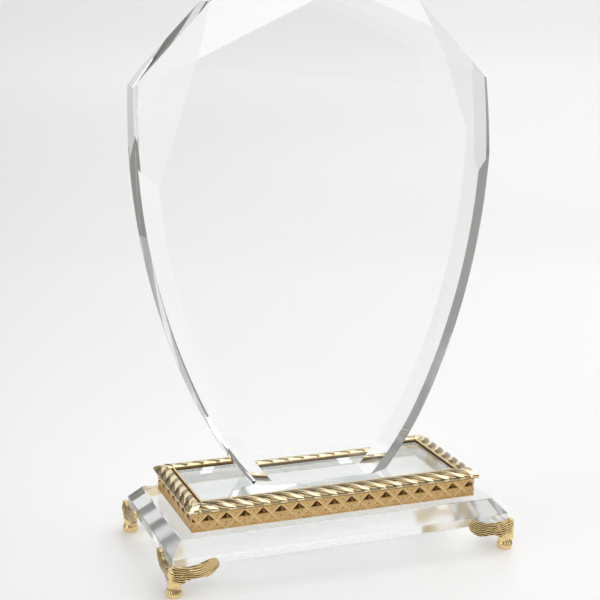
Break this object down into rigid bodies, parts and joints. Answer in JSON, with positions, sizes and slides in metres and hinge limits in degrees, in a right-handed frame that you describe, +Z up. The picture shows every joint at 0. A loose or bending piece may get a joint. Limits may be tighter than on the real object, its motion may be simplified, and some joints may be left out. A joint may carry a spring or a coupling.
{
  "type": "crystal award",
  "caption": "Shield-shaped bevelled crystal plaque standing on a gilt-framed crystal block and a bevelled crystal slab with gilt claw feet; a presentation trophy.",
  "frame": {"origin": "on the table surface, below the middle of the base", "axes": "+Z up the plaque, +X along the base's long side to the right, -Y towards the viewer of the plaque's bevelled face"},
  "size_m": [0.1886, 0.0994, 0.3076],
  "materials": {
    "crystal": "polished optical crystal, clear",
    "adhesive": "cured clear adhesive film",
    "gilt_rails": "bright gilt casting with darker recesses",
    "gilt_feet": "bright gilt casting with chased bark lines"
  },
  "bodies": {
    "root": {"plaque": "crystal", "plaque_bond": "adhesive", "upper_block": "crystal", "block_bond": "adhesive", "lower_slab": "crystal", "rail_front": "gilt_rails", "rail_back": "gilt_rails", "rail_left": "gilt_rails", "rail_right": "gilt_rails", "foot_front_left": "gilt_feet", "foot_front_right": "gilt_feet", "foot_back_left": "gilt_feet", "foot_back_right": "gilt_feet", "foot_bonds": "adhesive"}
  },
  "joints": []
}
